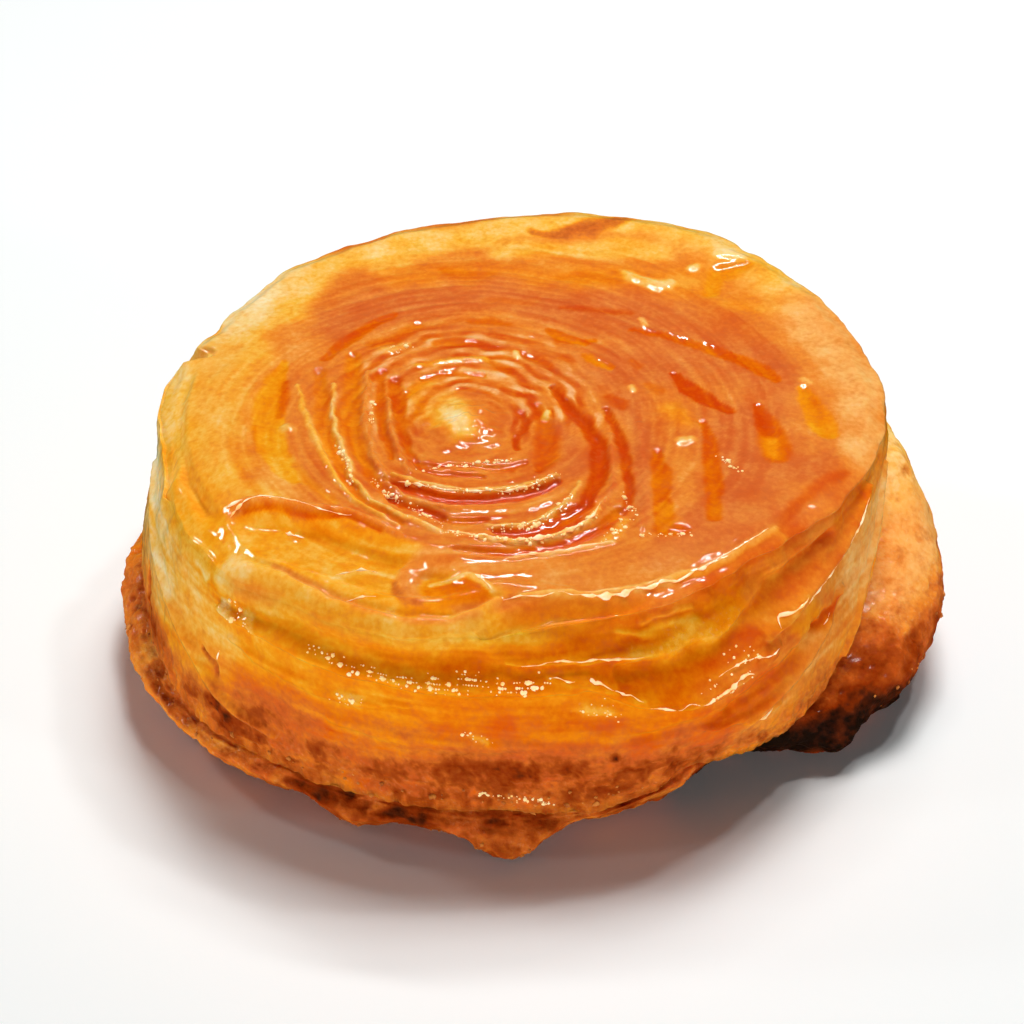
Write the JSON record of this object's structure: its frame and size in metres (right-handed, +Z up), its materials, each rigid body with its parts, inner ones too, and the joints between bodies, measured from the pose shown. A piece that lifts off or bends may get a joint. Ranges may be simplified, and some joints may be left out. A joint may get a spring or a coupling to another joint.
{
  "type": "kouign amann pastry",
  "caption": "Round kouign amann: a coil of laminated dough with a caramel glazed top, an outer wrap, a puffed lobe and a browned base, resting on a small flat sole.",
  "frame": {"origin": "middle of the flat sole, at the surface that the pastry rests on", "axes": "+Z up out of the glazed coil, +X to the puffed lobe, +Y away from the loose end of the strip"},
  "size_m": [0.1045, 0.0943, 0.0366],
  "materials": {
    "glazed_crust": "baked laminated dough under a clear amber caramel glaze, pale where unglazed and browned at the base"
  },
  "bodies": {
    "root": {"pastry": "glazed_crust"}
  },
  "joints": []
}
